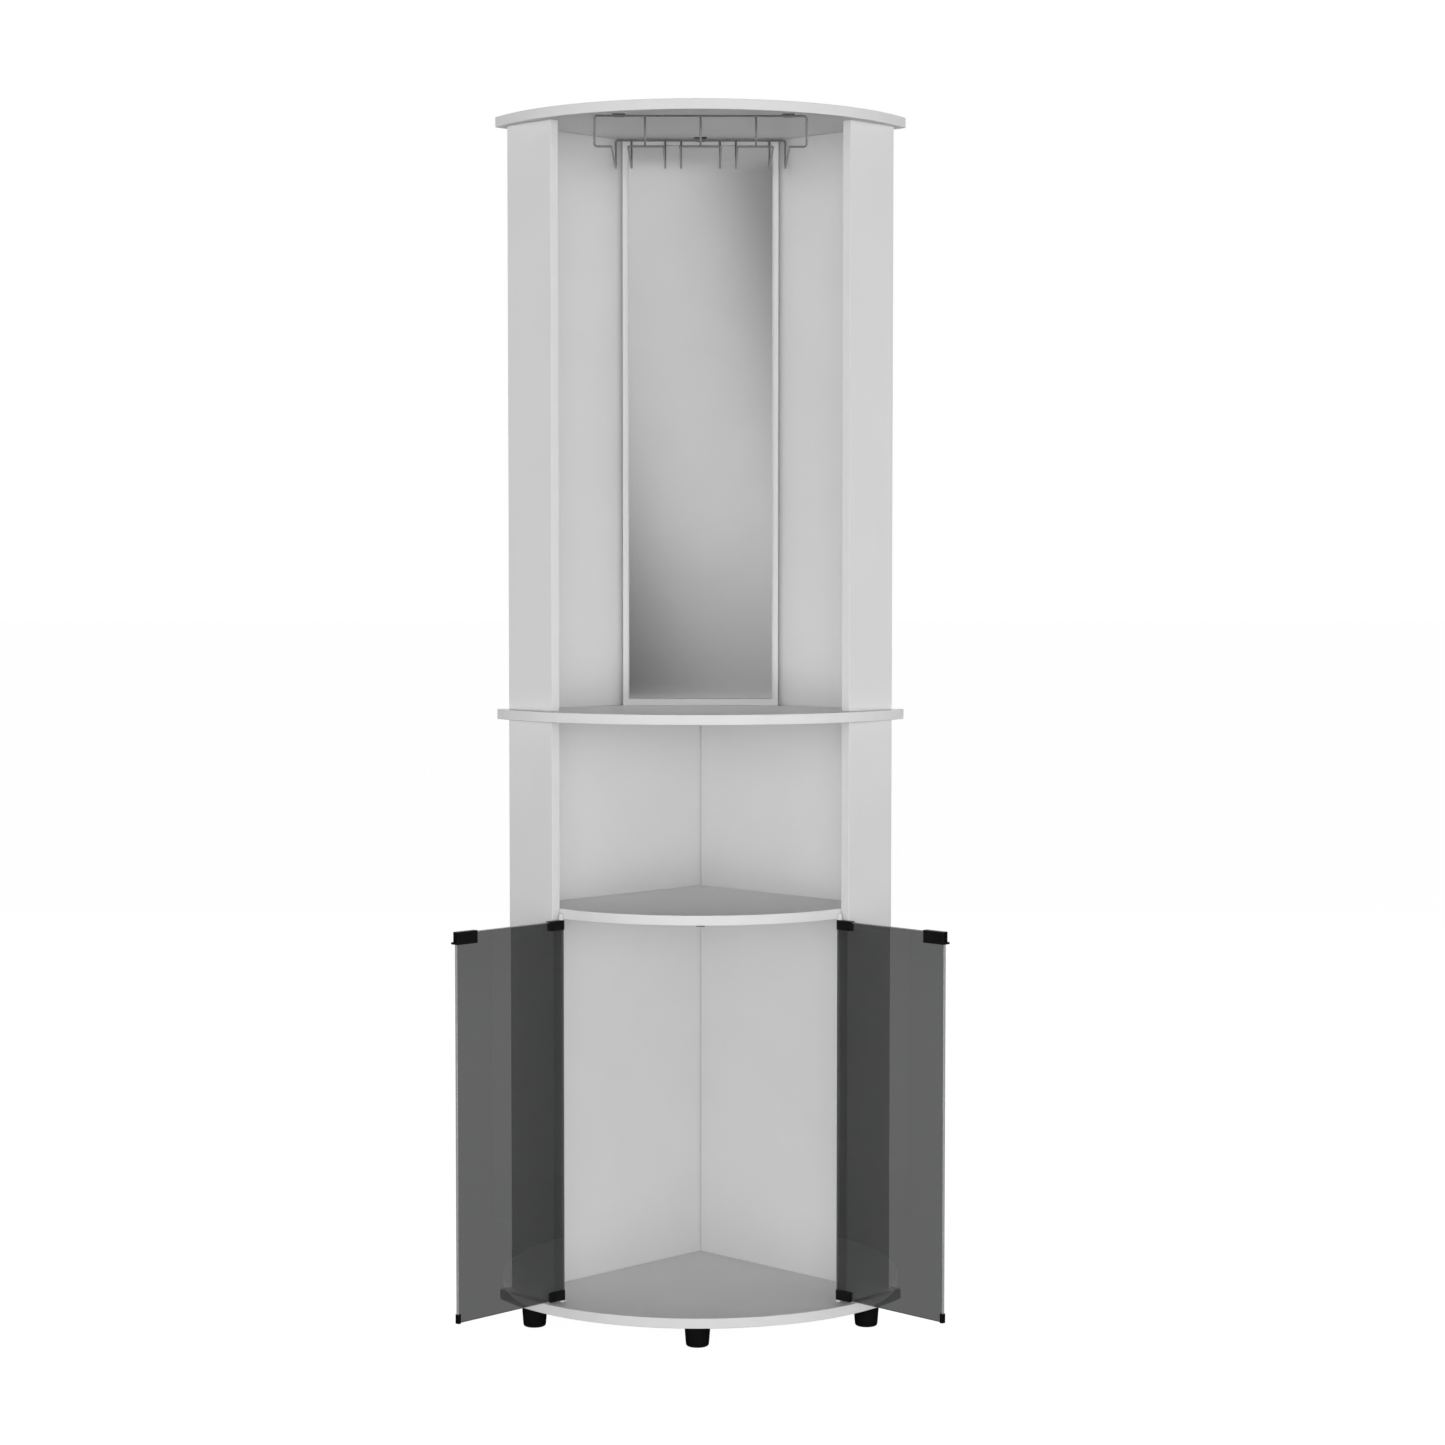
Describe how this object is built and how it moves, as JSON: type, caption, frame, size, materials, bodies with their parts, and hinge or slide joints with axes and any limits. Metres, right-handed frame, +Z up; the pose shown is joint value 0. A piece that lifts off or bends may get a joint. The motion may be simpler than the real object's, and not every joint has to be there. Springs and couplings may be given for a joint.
{
  "type": "corner bar cabinet",
  "caption": "White corner bar cabinet with bowed tops, a mirror, a wire rack for stemmed glasses, an open shelf and hinged smoked glass doors.",
  "frame": {"origin": "on the floor, under the middle of the whole cabinet's box with its doors open at 135 degrees", "axes": "+Z up, -Y towards the bowed front, +Y towards the room's corner, +X to the viewer's right"},
  "size_m": [0.7128, 0.5298, 1.8],
  "materials": {
    "white_board": "satin white laminate on particle board",
    "mirror": "silvered mirror glass",
    "smoked_glass": "polished smoked glass",
    "black_metal": "satin black coating",
    "black_plastic": "matte black moulding",
    "rack_wire": "dark chromed wire",
    "zinc_steel": "bright zinc",
    "beech": "bare beech",
    "white_plastic": "white nylon"
  },
  "bodies": {
    "cabinet": {"bottom_left_stile_dowel": "beech", "bottom_left_wall_dowel": "beech", "bottom_panel": "white_board", "bottom_right_stile_dowel": "beech", "bottom_right_wall_dowel": "beech", "catch_body": "black_plastic", "catch_left_magnet": "zinc_steel", "catch_right_magnet": "zinc_steel", "catch_screw": "zinc_steel", "front_centre_foot": "black_plastic", "front_left_foot": "black_plastic", "front_right_foot": "black_plastic", "left_bottom_bush": "white_plastic", "left_shelf_screw": "zinc_steel", "left_top_bush": "white_plastic", "lower_left_stile": "white_board", "lower_left_wall": "white_board", "lower_right_stile": "white_board", "lower_right_wall": "white_board", "middle_left_stile_dowel": "beech", "middle_left_wall_dowel": "beech", "middle_panel": "white_board", "middle_right_stile_dowel": "beech", "middle_right_wall_dowel": "beech", "mirror_board": "white_board", "mirror_pane": "mirror", "rack_front_left_clip": "rack_wire", "rack_front_right_clip": "rack_wire", "rack_front_wire": "rack_wire", "rack_left_end_wire": "rack_wire", "rack_left_rail_wire": "rack_wire", "rack_middle_rail_wire": "rack_wire", "rack_rear_clip": "rack_wire", "rack_rear_wire": "rack_wire", "rack_right_end_wire": "rack_wire", "rack_right_rail_wire": "rack_wire", "rear_foot": "black_plastic", "right_bottom_bush": "white_plastic", "right_shelf_screw": "zinc_steel", "right_top_bush": "white_plastic", "shelf_panel": "white_board", "top_left_stile_dowel": "beech", "top_left_wall_dowel": "beech", "top_panel": "white_board", "top_right_stile_dowel": "beech", "top_right_wall_dowel": "beech", "upper_left_stile": "white_board", "upper_left_wall": "white_board", "upper_right_stile": "white_board", "upper_right_wall": "white_board"},
    "left_door": {"left_bottom_hinge_fitting": "black_metal", "left_door_corner_cap": "black_plastic", "left_door_glass": "smoked_glass", "left_door_pull": "black_metal", "left_top_hinge_fitting": "black_metal"},
    "right_door": {"right_bottom_hinge_fitting": "black_metal", "right_door_corner_cap": "black_plastic", "right_door_glass": "smoked_glass", "right_door_pull": "black_metal", "right_top_hinge_fitting": "black_metal"}
  },
  "joints": [
    {"name": "left_door_hinge", "type": "hinge", "parent": "cabinet", "child": "left_door", "pos_m": [-0.2052, -0.11709, 0.3325], "axis": [0, 0, 1], "range_deg": [0, 135]},
    {"name": "right_door_hinge", "type": "hinge", "parent": "cabinet", "child": "right_door", "pos_m": [0.2052, -0.11709, 0.3325], "axis": [0, 0, -1], "range_deg": [0, 135]}
  ]
}
